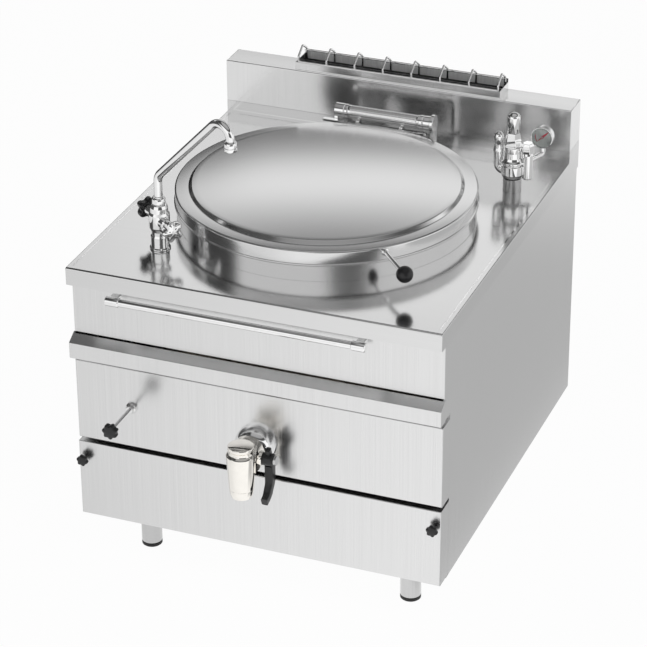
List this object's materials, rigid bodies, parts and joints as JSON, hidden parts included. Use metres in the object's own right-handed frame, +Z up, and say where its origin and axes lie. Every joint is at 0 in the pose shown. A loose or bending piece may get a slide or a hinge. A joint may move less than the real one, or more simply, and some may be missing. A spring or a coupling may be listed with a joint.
{
  "type": "steam jacketed kettle",
  "caption": "Free-standing gas heated steam jacketed boiling kettle with a round pan, hinged balanced lid, swivel water tap, safety group, drain cock and service door.",
  "frame": {"origin": "on the floor under the middle of the worktop", "axes": "+Z up, the front with the drain cock faces -Y, +X is to the right when facing the front"},
  "size_m": [0.8, 0.9925, 1.0395],
  "materials": {
    "worktop_steel": "satin stainless sheet",
    "panel_steel": "stainless sheet brushed up and down",
    "lid_steel": "satin stainless sheet",
    "tube_steel": "brushed stainless tube",
    "wire_steel": "bright stainless wire",
    "hinge_steel": "polished stainless",
    "tap_chrome": "polished chrome",
    "tap_black": "dark tap handle",
    "fitting_chrome": "polished chrome",
    "drain_nickel": "polished nickel plate",
    "black_plastic": "black moulded plastic",
    "foot_black": "black levelling foot",
    "bush_chrome": "plain chrome",
    "gauge_steel": "polished gauge case",
    "dial_white": "white dial with plain ticks",
    "needle_red": "red needle",
    "glass": "clear gauge glass",
    "inner_steel": "dull inner steel",
    "burner_iron": "cast burner",
    "gas_brass": "brass gas valve",
    "blanket": "mineral wool blanket",
    "spring_steel": "spring steel"
  },
  "bodies": {
    "cabinet": {"worktop": "worktop_steel", "flue_box": "worktop_steel", "flue_riser": "worktop_steel", "flue_guard": "wire_steel", "side_panel_left": "panel_steel", "side_panel_right": "panel_steel", "rear_panel": "panel_steel", "front_panel_upper": "panel_steel", "front_panel_middle": "panel_steel", "bottom_pan": "panel_steel", "base_frame": "panel_steel", "leg_sleeves": "tube_steel", "front_rail": "tube_steel", "rail_brackets": "tube_steel", "pan": "worktop_steel", "jacket": "lid_steel", "steam_pipe": "tube_steel", "insulation": "blanket", "fire_box": "inner_steel", "flue_duct": "inner_steel", "burner": "burner_iron", "gas_valve": "gas_brass", "drain_flange": "drain_nickel", "drain_body": "drain_nickel", "drain_outlet": "drain_nickel", "level_bush": "bush_chrome", "level_cock": "bush_chrome", "hinge_bracket_left": "hinge_steel", "hinge_bracket_right": "hinge_steel", "hinge_pin": "hinge_steel", "tap_body": "tap_chrome", "safety_body": "fitting_chrome", "vacuum_breaker": "fitting_chrome", "gauge_case": "gauge_steel", "gauge_dial": "dial_white", "gauge_glass": "glass"},
    "lid": {"lid_shell": "lid_steel", "lid_liner": "lid_steel", "lid_handle": "tube_steel", "lid_ball": "black_plastic", "hinge_barrel": "hinge_steel", "hinge_spring": "spring_steel"},
    "door": {"service_door": "panel_steel"},
    "door_knob_left": {"door_knob_left": "black_plastic"},
    "door_knob_right": {"door_knob_right": "black_plastic"},
    "spout": {"tap_spout": "tap_chrome", "aerator": "tap_chrome"},
    "tap_knob_left": {"tap_knob_left": "tap_black"},
    "tap_knob_right": {"tap_knob_right": "tap_chrome"},
    "drain_handle": {"drain_ball": "drain_nickel", "drain_lever": "black_plastic"},
    "level_handle": {"level_spindle": "bush_chrome", "level_knob": "black_plastic"},
    "safety_cap": {"safety_cap": "fitting_chrome"},
    "fill_cap": {"fill_cap": "fitting_chrome"},
    "gauge_needle": {"gauge_needle": "needle_red"},
    "foot_front_left": {"foot_front_left": "foot_black"},
    "foot_front_right": {"foot_front_right": "foot_black"},
    "foot_rear_left": {"foot_rear_left": "foot_black"},
    "foot_rear_right": {"foot_rear_right": "foot_black"}
  },
  "joints": [
    {"name": "lid_hinge", "type": "hinge", "parent": "cabinet", "child": "lid", "pos_m": [0, 0.308, 0.784], "axis": [-1, 0, 0], "range_deg": [0, 90], "stiffness_Nm_per_rad": 11, "springref_deg": 108.86},
    {"name": "door_hinge", "type": "hinge", "parent": "cabinet", "child": "door", "pos_m": [0, -0.4, 0.122], "axis": [1, 0, 0], "range_deg": [0, 75]},
    {"name": "door_knob_left_turn", "type": "hinge", "parent": "door", "child": "door_knob_left", "pos_m": [-0.3842, -0.45, 0.2597], "axis": [0, 1, 0], "continuous": true},
    {"name": "door_knob_right_turn", "type": "hinge", "parent": "door", "child": "door_knob_right", "pos_m": [0.3842, -0.45, 0.2597], "axis": [0, 1, 0], "continuous": true},
    {"name": "spout_swivel", "type": "hinge", "parent": "cabinet", "child": "spout", "pos_m": [-0.258, -0.3, 0.806], "axis": [0, 0, 1], "range_deg": [-60, 100]},
    {"name": "tap_knob_left_turn", "type": "hinge", "parent": "cabinet", "child": "tap_knob_left", "pos_m": [-0.258, -0.3, 0.77], "axis": [0.7431, -0.6691, 0], "range_deg": [0, 350]},
    {"name": "tap_knob_right_turn", "type": "hinge", "parent": "cabinet", "child": "tap_knob_right", "pos_m": [-0.258, -0.3, 0.77], "axis": [-0.7431, 0.6691, 0], "range_deg": [0, 350]},
    {"name": "drain_turn", "type": "hinge", "parent": "cabinet", "child": "drain_handle", "pos_m": [0, -0.478, 0.37], "axis": [-1, 0, 0], "range_deg": [0, 90]},
    {"name": "level_turn", "type": "hinge", "parent": "cabinet", "child": "level_handle", "pos_m": [-0.274, -0.535, 0.399], "axis": [0, -1, 0], "range_deg": [0, 350]},
    {"name": "safety_lift", "type": "slide", "parent": "cabinet", "child": "safety_cap", "axis": [0, 0, 1], "range_m": [0, 0.004], "stiffness_N_per_m": 1500, "springref_m": -0.01},
    {"name": "fill_cap_turn", "type": "hinge", "parent": "cabinet", "child": "fill_cap", "pos_m": [0.357, 0.214, 0.796], "axis": [0, 0, 1], "continuous": true},
    {"name": "gauge_needle_turn", "type": "hinge", "parent": "cabinet", "child": "gauge_needle", "pos_m": [0.3745, 0.251, 0.816], "axis": [0, 1, 0], "range_deg": [0, 90]},
    {"name": "foot_front_left_screw", "type": "slide", "parent": "cabinet", "child": "foot_front_left", "axis": [0, 0, -1], "range_m": [0, 0.03]},
    {"name": "foot_front_right_screw", "type": "slide", "parent": "cabinet", "child": "foot_front_right", "axis": [0, 0, -1], "range_m": [0, 0.03]},
    {"name": "foot_rear_left_screw", "type": "slide", "parent": "cabinet", "child": "foot_rear_left", "axis": [0, 0, -1], "range_m": [0, 0.03]},
    {"name": "foot_rear_right_screw", "type": "slide", "parent": "cabinet", "child": "foot_rear_right", "axis": [0, 0, -1], "range_m": [0, 0.03]}
  ]
}
